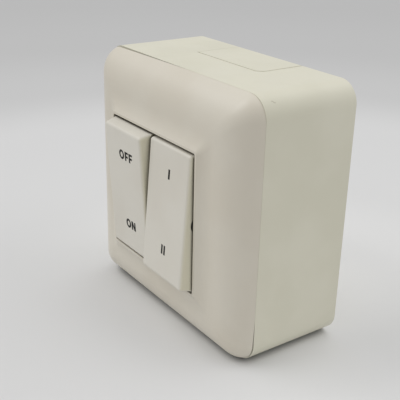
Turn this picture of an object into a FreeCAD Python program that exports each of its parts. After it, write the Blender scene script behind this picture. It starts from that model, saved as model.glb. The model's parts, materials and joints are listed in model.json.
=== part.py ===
import FreeCAD, Part
import math
import os
import types

import Sketcher

# Two-rocker fan switch in a surface box. Millimetres; X right, Y into the wall, Z up.
# The origin is the middle of the wall face, so a "level" below is a distance in front of the wall.

doc = FreeCAD.newDocument("fan_switch")

# Driving dimensions
DIMENSIONS = (
    ("box_side", 80.0, "width and height of the surface box"),
    ("box_depth", 32.1, "wall face to seam"),
    ("box_wall", 2.2, "side wall of the box"),
    ("back_wall", 2.5, "back wall of the box"),
    ("corner_radius", 6.6, "box corner seen from the front"),
    ("knockout_left", 13.8, "cable knockout in the top wall, middle to its left leg"),
    ("knockout_right", 16.9, "cable knockout in the top wall, middle to its right leg"),
    ("knockout_length", 16.2, "knockout from the wall face forward"),
    ("knockout_corner", 1.8, "cut corner of the knockout line"),
    ("groove_width", 0.42, "knockout line"),
    ("groove_faint", 0.12, "knockout line, left leg"),
    ("groove_depth", 0.4, "knockout line"),
    ("slot_spacing", 52.0, "wall screw slots, both ways"),
    ("slot_width", 4.4, "wall screw slot"),
    ("slot_length", 8.0, "wall screw slot"),
    ("entry_diameter", 16.0, "rear cable entry"),
    ("entry_inset", 10.8, "middle of the rear cable entry below the top wall"),
    ("pillar_diameter", 8.0, "screw pillars"),
    ("pillar_rib", 2.0, "rib from pillar to side wall"),
    ("twist_gap_upper", 0.85, "how far the seam opens at the upper left corner"),
    ("twist_gap_lower", 0.36, "how far the seam opens at the lower right corner"),
    ("twist_run_upper", 28.0, "open length of the seam, along the diagonal, upper left"),
    ("twist_run_lower", 8.0, "open length of the seam, along the diagonal, lower right"),
    ("seam_step", 0.05, "cover edge stands in from the box"),
    ("cover_corner", 7.0, "cover corner at the seam"),
    ("seam_depth", 1.5, "depth of the open seam"),
    ("cover_wall", 2.0, "cover thickness"),
    ("dome_width", 11.8, "convex border of the cover, seen from the front"),
    ("dome_rise", 7.8, "convex border of the cover, seen from the side"),
    ("lip_rise", 9.7, "seam to the lip around the window"),
    ("lip_land", 0.7, "flat on top of the lip"),
    ("lip_corner", 1.1, "corner of the lip"),
    ("cove_corner", 2.2, "corner where the cove meets the dome"),
    ("window_width", 44.7, "cover window"),
    ("window_height", 43.5, "cover window"),
    ("rim_width", 1.2, "locating rim inside the box"),
    ("rim_depth", 0.9, "locating rim inside the box"),
    ("rim_clearance", 0.25, "locating rim to box wall"),
    ("hook_spacing_x", 34.0, "cover hooks"),
    ("hook_width", 8.0, "cover hooks"),
    ("hook_thick", 1.6, "cover hooks"),
    ("hook_barb", 0.8, "cover hooks"),
    ("hook_play", 0.5, "slot around a hook"),
    ("catch_play", 0.1, "barb to the plate it holds"),
    ("frame_clearance", 1.3, "support frame to box wall"),
    ("frame_thick", 2.0, "support frame plate"),
    ("frame_recess", 1.1, "frame front behind the seam"),
    ("frame_corner", 5.0, "support frame corner"),
    ("frame_play", 0.2, "modules in the frame window"),
    ("screw_shank", 3.0, "frame screw"),
    ("screw_head", 6.6, "frame screw"),
    ("screw_head_rise", 2.2, "frame screw"),
    ("screw_length", 12.0, "frame screw"),
    ("screw_play", 0.2, "pilot bore over shank, on the diameter"),
    ("drive_width", 1.0, "screw driver slot"),
    ("drive_depth", 1.0, "screw driver slot"),
    ("rocker_gap", 0.35, "between the two rockers"),
    ("rocker_side_gap", 0.35, "rocker to the sides of the window"),
    ("rocker_end_gap", 0.6, "rocker to the ends of the window"),
    ("module_gap", 0.1, "between the two housings"),
    ("module_over", 0.4, "housing longer than the rocker"),
    ("module_depth", 17.6, "housing behind the frame front"),
    ("module_wall", 1.95, "module housing"),
    ("module_floor", 1.6, "module housing"),
    ("flange_reach", 2.5, "module flange past the housing"),
    ("flange_thick", 1.6, "module flange"),
    ("catch_reach", 0.8, "snap catch of the housing"),
    ("catch_width", 8.0, "snap catch of the housing"),
    ("catch_rise", 1.2, "snap catch of the housing"),
    ("pivot_behind_lip", 2.6, "rocker axis"),
    ("pivot_hole", 6.0, "round hole in the rocker sides"),
    ("pivot_play", 0.08, "trunnion in its hole, on the radius"),
    ("ear_thick", 1.4, "housing ear"),
    ("ear_radius", 2.7, "housing ear"),
    ("trunnion_length", 1.5, "housing trunnion"),
    ("side_lean", 0.5, "rocker sides lean in"),
    ("end_lean", 0.7, "rocker ends lean in"),
    ("face_proud", 2.3, "level rocker face in front of the lip"),
    ("face_thick", 1.5, "rocker face"),
    ("edge_round", 1.0, "rocker edges"),
    ("skirt_back", 1.5, "rocker skirt behind the pivot"),
    ("skirt_shoulder", 1.2, "where the rocker sides begin to lean in"),
    ("skirt_wall", 1.3, "rocker skirt"),
    ("lobe_radius", 4.6, "skirt around the pivot hole"),
    ("rocker_tilt", 4.2, "rocker either side of level, degrees"),
    ("stem_diameter", 6.4, "plunger guide"),
    ("stem_reach", 8.5, "plunger guide behind the pivot"),
    ("bore_diameter", 4.2, "plunger guide"),
    ("bore_front", 2.0, "blind end of the guide in front of the pivot"),
    ("plunger_play", 0.1, "plunger in its guide, on the radius"),
    ("plunger_back", 4.0, "plunger's inner end behind the pivot"),
    ("plunger_shoulder", 10.8, "where the plunger tapers"),
    ("plunger_reach", 14.0, "plunger tip from the pivot"),
    ("tip_diameter", 2.4, "plunger tip"),
    ("spring_wire", 0.45, "plunger spring"),
    ("spring_diameter", 3.2, "plunger spring, middle of the wire"),
    ("spring_pitch", 1.1, "plunger spring"),
    ("spring_play", 0.1, "spring to its seats"),
    ("tip_play", 0.05, "level plunger tip to blade"),
    ("strip_thick", 0.8, "brass strip"),
    ("blade_width", 7.0, "contact blade"),
    ("blade_over", 2.0, "blade past its contacts"),
    ("blade_tilt", 6.5, "blade either side of level, degrees"),
    ("blade_pin", 1.6, "blade trunnion"),
    ("blade_pin_span", 9.8, "over both blade trunnions"),
    ("blade_pin_play", 0.05, "blade trunnion in its notch, on the radius"),
    ("contact_inset", 5.0, "contacts inward of the terminal ends"),
    ("contact_diameter", 3.4, "silver contacts"),
    ("contact_thick", 0.7, "silver contacts"),
    ("contact_play", 0.1, "closed contacts"),
    ("prong_gap", 7.8, "between the prongs of the common terminal"),
    ("prong_height", 4.4, "prongs of the common terminal"),
    ("terminal_width", 7.0, "brass terminals"),
    ("terminal_clearance", 1.55, "outer terminals to the housing wall"),
    ("terminal_inset", 4.5, "outer terminal screws inward of the terminal ends"),
    ("pad_gap", 0.9, "between the pads of two terminals"),
    ("pad_reach", 4.0, "terminal pad inward of its screw"),
    ("terminal_shank", 2.96, "terminal screw"),
    ("terminal_head", 5.4, "terminal screw"),
    ("terminal_head_rise", 2.0, "terminal screw"),
    ("terminal_length", 6.5, "terminal screw"),
    ("strip_play", 0.1, "terminal leg in its slot"),
    ("clamp_foot", 3.9, "wire clamp"),
    ("clamp_height", 7.0, "wire clamp"),
    ("clamp_width", 6.0, "wire clamp"),
    ("link_diameter", 1.4, "link wire"),
    ("link_play", 0.05, "link wire under its clamps"),
    ("link_end", 2.8, "link wire past the clamp screw"),
    ("link_bend", 4.0, "link wire bend"),
)

# Shape of the cover's border, as shares of its width and rise, and of the cove beside it
DOME_STEPS = ((0.0, 0.0), (0.13, 0.388), (0.376, 0.732), (0.675, 0.936), (1.0, 1.0))
COVE_STEPS = ((0.0, 0.0), (0.366, 0.116), (0.707, 0.457), (1.0, 1.0))
HOLLOW_STEPS = ((0.35, 0.62), (1.0, 1.0))
# Share of the wall that a cover hook reaches into, of a tip that is rounded, of a contact on its tongue
HOOK_SHARE = 0.25
TIP_SHARE = 0.95
TONGUE_SHARE = 0.7
# Two heights closer than this are the same
TOUCH = 1e-3
SIDES = (("left", -1), ("right", 1))
DIAGONAL = 45


class Size:
    """A length that carries its value and the sheet expression it comes from."""

    def __init__(self, value, text):
        self.value = value
        self.text = text

    def __add__(self, other):
        other = as_size(other)
        return Size(self.value + other.value, f"({self.text} + {other.text})")

    def __sub__(self, other):
        other = as_size(other)
        return Size(self.value - other.value, f"({self.text} - {other.text})")

    def __mul__(self, other):
        other = as_size(other)
        return Size(self.value * other.value, f"({self.text} * {other.text})")

    def __truediv__(self, other):
        other = as_size(other)
        return Size(self.value / other.value, f"({self.text} / {other.text})")

    def __neg__(self):
        return self * -1

    def __radd__(self, other):
        return as_size(other) + self

    def __rsub__(self, other):
        return as_size(other) - self

    def __rmul__(self, other):
        return self * other


def as_size(number):
    if isinstance(number, Size):
        return number
    return Size(float(number), f"({float(number)!r})")


def read_sheet():
    """Fill the sheet and return every dimension as a bound size."""
    sheet = doc.addObject("Spreadsheet::Sheet", "Sizes")
    found = {}
    for row, (alias, value, note) in enumerate(DIMENSIONS, start=1):
        sheet.set(f"A{row}", note)
        sheet.set(f"B{row}", str(value))
        sheet.setAlias(f"B{row}", alias)
        found[alias] = Size(value, f"Sizes.{alias}")
    doc.recompute()
    return types.SimpleNamespace(**found)


S = read_sheet()

# Levels in front of the wall face
SEAM = S.box_depth
LIP = SEAM + S.lip_rise
PIVOT = LIP - S.pivot_behind_lip
FRAME_FRONT = SEAM - S.frame_recess
FRAME_BACK = FRAME_FRONT - S.frame_thick
MODULE_BACK = FRAME_FRONT - S.module_depth
MODULE_FLOOR = MODULE_BACK + S.module_floor
FLANGE_FRONT = FRAME_FRONT + S.flange_thick
BLADE_AXIS = PIVOT - S.plunger_reach - S.tip_play - S.strip_thick
PAD_BACK = MODULE_BACK - S.strip_thick

# Sizes that follow from those above
BOX_INSIDE = S.box_side - S.box_wall * 2
COVER_SIDE = S.box_side - S.seam_step * 2
RIM_SIDE = BOX_INSIDE - S.rim_clearance * 2
FRAME_SIDE = BOX_INSIDE - S.frame_clearance * 2
ENTRY_HEIGHT = BOX_INSIDE / 2 - S.entry_inset
ROCKER_WIDTH = (S.window_width - S.rocker_side_gap * 2 - S.rocker_gap) / 2
ROCKER_LENGTH = S.window_height - S.rocker_end_gap * 2
FACE_WIDTH = ROCKER_WIDTH - S.side_lean * 2
FACE_LENGTH = ROCKER_LENGTH - S.end_lean * 2
FACE_REACH = S.pivot_behind_lip + S.face_proud
MODULE_PITCH = ROCKER_WIDTH + S.rocker_gap
MODULE_WIDTH = MODULE_PITCH - S.module_gap
MODULE_HEIGHT = ROCKER_LENGTH + S.module_over
FLANGE_HEIGHT = MODULE_HEIGHT + S.flange_reach * 2
CAVITY_HALF = MODULE_WIDTH / 2 - S.module_wall
PILLAR_SPACING = (BOX_INSIDE + MODULE_PITCH + MODULE_WIDTH) / 2
HOOK_SPACING = (FRAME_SIDE + FLANGE_HEIGHT) / 2
TERMINAL_END = MODULE_HEIGHT / 2 - S.module_wall - S.terminal_clearance
TERMINAL_SCREW = TERMINAL_END - S.terminal_inset
COMMON_END = TERMINAL_SCREW - S.pad_reach - S.pad_gap
COMMON_SCREW = COMMON_END - S.pad_reach
CONTACT_ARM = TERMINAL_END - S.contact_inset
BLADE_LENGTH = (CONTACT_ARM + S.blade_over) * 2
CONTACT_DROP = (CONTACT_ARM + S.contact_diameter / 2) * math.sin(math.radians(S.blade_tilt.value))
TONGUE_FRONT = BLADE_AXIS - S.contact_thick * 2 - CONTACT_DROP - S.contact_play
CLAMP_RISE = S.link_diameter + S.link_play + S.strip_thick
CLAMP_BACK = PAD_BACK - CLAMP_RISE
SHANK_HOLE = S.terminal_shank / 2 + S.strip_play


def bind(thing, prop, size):
    thing.setExpression(prop, as_size(size).text)


def new_body(label):
    body = doc.addObject("PartDesign::Body", label)
    body.Label = label
    return body


def place(body, x, y, z, tilt):
    """Stand a body on its own axis along X, turned by tilt degrees."""
    spot = [as_size(number) for number in (x, y, z, tilt)]
    turn = FreeCAD.Rotation(FreeCAD.Vector(1, 0, 0), spot[3].value)
    body.Placement = FreeCAD.Placement(FreeCAD.Vector(*[s.value for s in spot[:3]]), turn)
    for key, size in zip(("Base.x", "Base.y", "Base.z", "Rotation.Angle"), spot):
        bind(body, f"Placement.{key}", size)


def new_sketch(body, role, name, level, turn=0):
    """A sketch on an origin plane, raised by level along the plane's normal and turned about its own Y."""
    sketch = body.newObject("Sketcher::SketchObject", name)
    plane = [f for f in body.Origin.OriginFeatures if f.Role == role][0]
    sketch.AttachmentSupport = [(plane, "")]
    sketch.MapMode = "FlatFace"
    height = as_size(level)
    turned = FreeCAD.Rotation(FreeCAD.Vector(0, 1, 0), turn)
    sketch.AttachmentOffset = FreeCAD.Placement(FreeCAD.Vector(0, 0, height.value), turned)
    bind(sketch, "AttachmentOffset.Base.z", height)
    return sketch


def hold_point(sketch, geometry, position, point):
    """Bind a point's two coordinates."""
    for kind, size in zip(("DistanceX", "DistanceY"), point):
        size = as_size(size)
        index = sketch.addConstraint(Sketcher.Constraint(kind, -1, 1, geometry, position, size.value))
        bind(sketch, f"Constraints[{index}]", size)


def hold_radius(sketch, geometry, radius):
    index = sketch.addConstraint(Sketcher.Constraint("Radius", geometry, as_size(radius).value))
    bind(sketch, f"Constraints[{index}]", radius)


def flat(point):
    return FreeCAD.Vector(as_size(point[0]).value, as_size(point[1]).value, 0)


def add_polygon(sketch, points):
    first = sketch.GeometryCount
    count = len(points)
    for i, point in enumerate(points):
        sketch.addGeometry(Part.LineSegment(flat(point), flat(points[(i + 1) % count])))
    for i in range(count):
        sketch.addConstraint(Sketcher.Constraint("Coincident", first + i, 2, first + (i + 1) % count, 1))
    for i, point in enumerate(points):
        hold_point(sketch, first + i, 1, point)


def polygon(body, role, name, points, level=0):
    sketch = new_sketch(body, role, name, level)
    add_polygon(sketch, points)
    return sketch


def rectangles(body, role, name, centres, width, height, level=0):
    """One rectangle of the same size about each centre."""
    sketch = new_sketch(body, role, name, level)
    for cx, cy in centres:
        left, right = cx - width / 2, cx + width / 2
        low, high = cy - height / 2, cy + height / 2
        add_polygon(sketch, ((left, low), (right, low), (right, high), (left, high)))
    return sketch


def circles(body, role, name, centres, radius, level=0):
    sketch = new_sketch(body, role, name, level)
    for centre in centres:
        circle = Part.Circle(flat(centre), FreeCAD.Vector(0, 0, 1), as_size(radius).value)
        geometry = sketch.addGeometry(circle)
        hold_point(sketch, geometry, 3, centre)
        hold_radius(sketch, geometry, radius)
    return sketch


def arc_point(arc, angle):
    centre, radius = flat(arc[0]), as_size(arc[1]).value
    way = math.radians(angle)
    return centre + FreeCAD.Vector(math.cos(way), math.sin(way), 0) * radius


def add_chain(sketch, arcs, ends=()):
    """Join arcs (centre, radius, first angle, last angle, forward) by tangent lines. No ends: closed."""
    first = sketch.GeometryCount
    for centre, radius, start, stop, forward in arcs:
        circle = Part.Circle(flat(centre), FreeCAD.Vector(0, 0, 1), as_size(radius).value)
        sketch.addGeometry(Part.ArcOfCircle(circle, math.radians(start), math.radians(stop)))
    for i, arc in enumerate(arcs):
        hold_point(sketch, first + i, 3, arc[0])
        hold_radius(sketch, first + i, arc[1])
    inward = [(1, a[2]) if a[4] else (2, a[3]) for a in arcs]
    outward = [(2, a[3]) if a[4] else (1, a[2]) for a in arcs]
    last = len(arcs) - 1
    for i in range(last if ends else last + 1):
        j = (i + 1) % len(arcs)
        line = Part.LineSegment(arc_point(arcs[i], outward[i][1]), arc_point(arcs[j], inward[j][1]))
        geometry = sketch.addGeometry(line)
        sketch.addConstraint(Sketcher.Constraint("Tangent", first + i, outward[i][0], geometry, 1))
        sketch.addConstraint(Sketcher.Constraint("Tangent", geometry, 2, first + j, inward[j][0]))
    if ends:
        lead = sketch.addGeometry(Part.LineSegment(flat(ends[0]), arc_point(arcs[0], inward[0][1])))
        sketch.addConstraint(Sketcher.Constraint("Tangent", lead, 2, first, inward[0][0]))
        hold_point(sketch, lead, 1, ends[0])
        tail = sketch.addGeometry(Part.LineSegment(arc_point(arcs[last], outward[last][1]), flat(ends[1])))
        sketch.addConstraint(Sketcher.Constraint("Tangent", first + last, outward[last][0], tail, 1))
        hold_point(sketch, tail, 2, ends[1])


def rounded(body, role, name, width, height, radius, level=0):
    """A rectangle about the origin with round corners."""
    sketch = new_sketch(body, role, name, level)
    x = width / 2 - radius
    y = height / 2 - radius
    corners = ((x, -y, -90), (x, y, 0), (-x, y, 90), (-x, -y, 180))
    add_chain(sketch, [((cx, cy), radius, turn, turn + 90, True) for cx, cy, turn in corners])
    return sketch


def slots(body, role, name, centres, length, width, level=0):
    """Slots with round ends, running along the sketch's first axis."""
    sketch = new_sketch(body, role, name, level)
    reach = (length - width) / 2
    for cx, cy in centres:
        ends = (((cx + reach, cy), -90), ((cx - reach, cy), 90))
        add_chain(sketch, [(centre, width / 2, turn, turn + 180, True) for centre, turn in ends])
    return sketch


def sweep(body, kind, sketch, length, both=False):
    """Pad or pocket a sketch by a length, one way along its normal or half each way."""
    doc.recompute()
    feature = body.newObject(f"PartDesign::{kind}", f"{sketch.Name}_{kind.lower()}")
    feature.Profile = sketch
    feature.Length = as_size(length).value
    bind(feature, "Length", length)
    if both:
        feature.SideType = "Symmetric"
    doc.recompute()
    return feature


def pad(body, sketch, length, both=False):
    return sweep(body, "Pad", sketch, length, both)


def pocket(body, sketch, length, both=False):
    return sweep(body, "Pocket", sketch, length, both)


def loft(body, kind, name, sections):
    doc.recompute()
    feature = body.newObject(f"PartDesign::{kind}", name)
    feature.Profile = sections[0]
    feature.Sections = list(sections[1:])
    doc.recompute()
    return feature


def round_edges(body, base, name, radius, wanted):
    """Round the edges of the feature for which wanted(edge) is true."""
    names = [f"Edge{i}" for i, edge in enumerate(base.Shape.Edges, start=1) if wanted(edge)]
    feature = body.newObject("PartDesign::Fillet", name)
    feature.Base = (base, names)
    feature.Radius = as_size(radius).value
    bind(feature, "Radius", radius)
    doc.recompute()
    return feature


def mirrored(x, y):
    """The four points at plus and minus x and y."""
    return ((-x, -y), (x, -y), (x, y), (-x, y))


def two_sided(x):
    return ((-x, as_size(0)), (x, as_size(0)))


# Surface box: open to the front, with screw pillars, wall slots, cable entry and a scored knockout
def surface_box():
    body = new_body("surface_box")
    outline = rounded(body, "XZ_Plane", "box_outline", S.box_side, S.box_side, S.corner_radius)
    pad(body, outline, S.box_depth)
    inside_radius = S.corner_radius - S.box_wall
    inside = rounded(body, "XZ_Plane", "box_inside", BOX_INSIDE, BOX_INSIDE, inside_radius, SEAM)
    pocket(body, inside, S.box_depth - S.back_wall)
    spots = two_sided(PILLAR_SPACING / 2)
    pillar_rise = FRAME_BACK - S.back_wall
    pad(body, circles(body, "XZ_Plane", "pillars", spots, S.pillar_diameter / 2, S.back_wall), pillar_rise)
    rib_run = (S.box_side - PILLAR_SPACING) / 2 - S.box_wall / 2
    rib_spots = two_sided(PILLAR_SPACING / 2 + rib_run / 2)
    ribs = rectangles(body, "XZ_Plane", "pillar_ribs", rib_spots, rib_run, S.pillar_rib, S.back_wall)
    pad(body, ribs, pillar_rise - S.frame_thick)
    bore = S.screw_shank / 2 + S.screw_play / 2
    pocket(body, circles(body, "XZ_Plane", "pilot_bores", spots, bore, FRAME_BACK), S.screw_length)
    wall_spots = mirrored(S.slot_spacing / 2, S.slot_spacing / 2)
    wall_slots = slots(body, "XZ_Plane", "wall_slots", wall_spots, S.slot_length, S.slot_width, S.back_wall)
    pocket(body, wall_slots, S.back_wall)
    entry_spot = ((as_size(0), ENTRY_HEIGHT),)
    entry = circles(body, "XZ_Plane", "entry", entry_spot, S.entry_diameter / 2, S.back_wall)
    pocket(body, entry, S.back_wall)
    pocket(body, knockout_line(body), S.groove_depth)
    return body


def knockout_line(body):
    """A U-shaped score line on the top wall, open at the wall face."""
    cut = S.knockout_corner
    half = S.groove_width / 2
    left = -S.knockout_left
    faint = left + S.groove_faint
    inner, outer = S.knockout_right - half, S.knockout_right + half
    front, back = -S.knockout_length - half, -S.knockout_length + half
    points = (
        (left, as_size(0)), (left, front), (outer - cut, front), (outer, front + cut), (outer, as_size(0)),
        (inner, as_size(0)), (inner, back + cut), (inner - cut, back), (faint, back), (faint, as_size(0)),
    )
    return polygon(body, "XY_Plane", "knockout_line", points, S.box_side / 2)


# Cover frame: domed border, cove rising to the lip, window, locating rim and four hooks
def cover_frame():
    body = new_body("cover_frame")
    loft(body, "AdditiveLoft", "dome", dome_sections(body))
    loft(body, "AdditiveLoft", "cove", cove_sections(body))
    open_seam(body)
    seat_side = COVER_SIDE - S.seam_depth * 2
    seat = rounded(body, "XZ_Plane", "seat", seat_side, seat_side, S.corner_radius - S.seam_depth, SEAM)
    pad(body, seat, S.twist_gap_upper)
    loft(body, "SubtractiveLoft", "hollow", hollow_sections(body))
    rim_corner = S.corner_radius - S.box_wall
    rim = rounded(body, "XZ_Plane", "rim", RIM_SIDE, RIM_SIDE, rim_corner, SEAM - S.rim_depth)
    pad(body, rim, S.rim_depth)
    rim_hole_side = RIM_SIDE - S.rim_width * 2
    rim_radius = rim_corner - S.rim_width
    rim_hole = rounded(body, "XZ_Plane", "rim_hole", rim_hole_side, rim_hole_side, rim_radius, SEAM)
    pocket(body, rim_hole, S.rim_depth)
    window = rounded(body, "XZ_Plane", "window", S.window_width, S.window_height, S.lip_corner / 2, LIP)
    pocket(body, window, S.lip_rise)
    cover_hooks(body)
    return body


def dome_sections(body):
    found = []
    for step, (run, rise) in enumerate(DOME_STEPS):
        side = COVER_SIDE - S.dome_width * (2 * run)
        radius = S.cove_corner + (S.cover_corner - S.cove_corner) * (1 - run) ** 3
        level = SEAM + S.dome_rise * rise
        found.append(rounded(body, "XZ_Plane", f"dome_{step}", side, side, radius, level))
    return found


def cove_sections(body):
    base_side = COVER_SIDE - S.dome_width * 2
    base = SEAM + S.dome_rise
    found = []
    for step, (run, rise) in enumerate(COVE_STEPS):
        width = base_side - (base_side - S.window_width - S.lip_land * 2) * run
        height = base_side - (base_side - S.window_height - S.lip_land * 2) * run
        radius = S.cove_corner - (S.cove_corner - S.lip_corner) * run
        level = base + (LIP - base) * rise
        found.append(rounded(body, "XZ_Plane", f"cove_{step}", width, height, radius, level))
    return found


def hollow_sections(body):
    """The underside follows the dome at the wall thickness."""
    rim_hole_side = RIM_SIDE - S.rim_width * 2
    roof_side = COVER_SIDE - S.dome_width * 2
    rise = S.dome_rise - S.cover_wall
    radius = S.corner_radius - S.box_wall - S.rim_width
    found = [rounded(body, "XZ_Plane", "hollow_0", rim_hole_side, rim_hole_side, radius, SEAM)]
    for step, (run, share) in enumerate(HOLLOW_STEPS, start=1):
        side = rim_hole_side - (rim_hole_side - roof_side) * run
        found.append(rounded(body, "XZ_Plane", f"hollow_{step}", side, side, radius, SEAM + rise * share))
    return found


def open_seam(body):
    """The moulding is a little twisted: a thin wedge under two opposite corners opens the seam there."""
    tip = (COVER_SIDE / 2 - S.cover_corner) * math.sqrt(2) + S.cover_corner
    corners = (
        ("upper", -1, S.twist_gap_upper, S.twist_run_upper),
        ("lower", 1, S.twist_gap_lower, S.twist_run_lower),
    )
    for name, way, gap, run in corners:
        points = ((tip * way, -SEAM), (tip * way, -SEAM - gap), ((tip - run) * way, -SEAM))
        sketch = new_sketch(body, "XY_Plane", f"twist_{name}", 0, DIAGONAL)
        add_polygon(sketch, points)
        pocket(body, sketch, S.box_side * 2, both=True)


def cover_hooks(body):
    x, z = S.hook_spacing_x / 2, HOOK_SPACING / 2
    tip = FRAME_BACK - S.catch_play - S.catch_rise
    legs = rectangles(body, "XZ_Plane", "hook_legs", mirrored(x, z), S.hook_width, S.hook_thick, tip)
    pad(body, legs, SEAM + S.dome_rise - S.cover_wall * (1 - HOOK_SHARE) - tip)
    reach = S.hook_thick / 2 + S.hook_barb / 2
    barbs = mirrored(x, z + reach)
    pad(body, rectangles(body, "XZ_Plane", "hook_barbs", barbs, S.hook_width, S.hook_barb, tip), S.catch_rise)


# Support frame: flat plate with the module window, hook slots and screw holes
def support_frame():
    body = new_body("support_frame")
    plate = rounded(body, "XZ_Plane", "plate", FRAME_SIDE, FRAME_SIDE, S.frame_corner, FRAME_BACK)
    pad(body, plate, S.frame_thick)
    width = MODULE_PITCH + MODULE_WIDTH + S.frame_play * 2
    height = MODULE_HEIGHT + S.frame_play * 2
    middle = ((as_size(0), as_size(0)),)
    pocket(body, rectangles(body, "XZ_Plane", "opening", middle, width, height, FRAME_FRONT), S.frame_thick)
    slot_height = S.hook_thick + S.hook_play + S.hook_barb
    slot_z = HOOK_SPACING / 2 + S.catch_play - S.hook_barb / 2
    spots = mirrored(S.hook_spacing_x / 2, slot_z)
    slot_width = S.hook_width + S.hook_play
    hook_slots = rectangles(body, "XZ_Plane", "hook_slots", spots, slot_width, slot_height, FRAME_FRONT)
    pocket(body, hook_slots, S.frame_thick)
    holes = two_sided(PILLAR_SPACING / 2)
    radius = S.screw_shank / 2 + S.screw_play * 2
    pocket(body, circles(body, "XZ_Plane", "screw_holes", holes, radius, FRAME_FRONT), S.frame_thick)
    return body


def slotted_screws(label, spots, shank, length, head, rise, seat, way):
    """Screws at the given spots: heads on the seat level, shanks running the other way."""
    body = new_body(label)
    low = seat if way > 0 else seat - rise
    heads = circles(body, "XZ_Plane", f"{label}_heads", spots, head / 2, low)
    pad(body, heads, rise)
    shank_low = seat - length if way > 0 else seat
    shanks = circles(body, "XZ_Plane", f"{label}_shanks", spots, shank / 2, shank_low)
    pad(body, shanks, length)
    top = seat + rise if way > 0 else seat - rise + S.drive_depth
    drives = rectangles(body, "XZ_Plane", f"{label}_drives", spots, head * 2, S.drive_width, top)
    pocket(body, drives, S.drive_depth)
    return body


# Module housing: open cup clipped into the frame, with two ears that carry the rocker
def module_housing(side, sign):
    label = f"{side}_module_housing"
    body = new_body(label)
    x = MODULE_PITCH / 2 * sign
    zero = as_size(0)
    middle = ((x, zero),)
    width, height = MODULE_WIDTH, MODULE_HEIGHT
    cup = rectangles(body, "XZ_Plane", f"{side}_cup", middle, width, height, MODULE_BACK)
    pad(body, cup, S.module_depth)
    flange = rectangles(body, "XZ_Plane", f"{side}_flange", middle, width, FLANGE_HEIGHT, FRAME_FRONT)
    pad(body, flange, S.flange_thick)
    inner_height = height - S.module_wall * 2
    inner_width = CAVITY_HALF * 2
    cavity = rectangles(body, "XZ_Plane", f"{side}_cavity", middle, inner_width, inner_height, FLANGE_FRONT)
    pocket(body, cavity, FLANGE_FRONT - MODULE_FLOOR)
    snap = height / 2 + S.catch_reach / 2
    catch_low = FRAME_BACK - S.catch_play - S.catch_rise
    catches = ((x, snap), (x, -snap))
    snaps = rectangles(body, "XZ_Plane", f"{side}_catches", catches, S.catch_width, S.catch_reach, catch_low)
    pad(body, snaps, S.catch_rise)
    housing_ears(body, side, x)
    housing_openings(body, side, x)
    return body


def housing_ears(body, side, x):
    """An ear on each side wall, its top round about the pivot, and a trunnion outside it."""
    for end, way in (("a", -1), ("b", 1)):
        inner = x + (CAVITY_HALF - S.ear_thick) * way
        base = inner if way > 0 else inner - S.ear_thick
        r = S.ear_radius
        points = ((-MODULE_FLOOR, -r), (-PIVOT, -r), (-PIVOT, r), (-MODULE_FLOOR, r))
        pad(body, polygon(body, "YZ_Plane", f"{side}_ear_{end}", points, base), S.ear_thick)
        axis = ((-PIVOT, as_size(0)),)
        pad(body, circles(body, "YZ_Plane", f"{side}_ear_top_{end}", axis, r, base), S.ear_thick)
        outer = x + CAVITY_HALF * way
        start = outer if way > 0 else outer - S.trunnion_length
        radius = S.pivot_hole / 2 - S.pivot_play
        pad(body, circles(body, "YZ_Plane", f"{side}_trunnion_{end}", axis, radius, start), S.trunnion_length)


def housing_openings(body, side, x):
    """Slots for the terminal legs and holes for the terminal screws, through the floor."""
    leg_z = TERMINAL_END - S.strip_thick / 2
    legs = ((x, leg_z), (x, -leg_z), (x, S.prong_height / 2 - S.strip_thick / 2))
    width = S.terminal_width + S.strip_play * 2
    height = S.strip_thick + S.strip_play * 2
    leg_slots = rectangles(body, "XZ_Plane", f"{side}_leg_slots", legs, width, height, MODULE_FLOOR)
    pocket(body, leg_slots, S.module_floor)
    holes = ((x, TERMINAL_SCREW), (x, -TERMINAL_SCREW), (x, -COMMON_SCREW))
    radius = SHANK_HOLE + S.strip_play
    shank_holes = circles(body, "XZ_Plane", f"{side}_screw_holes", holes, radius, MODULE_FLOOR)
    pocket(body, shank_holes, S.module_floor)


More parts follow.
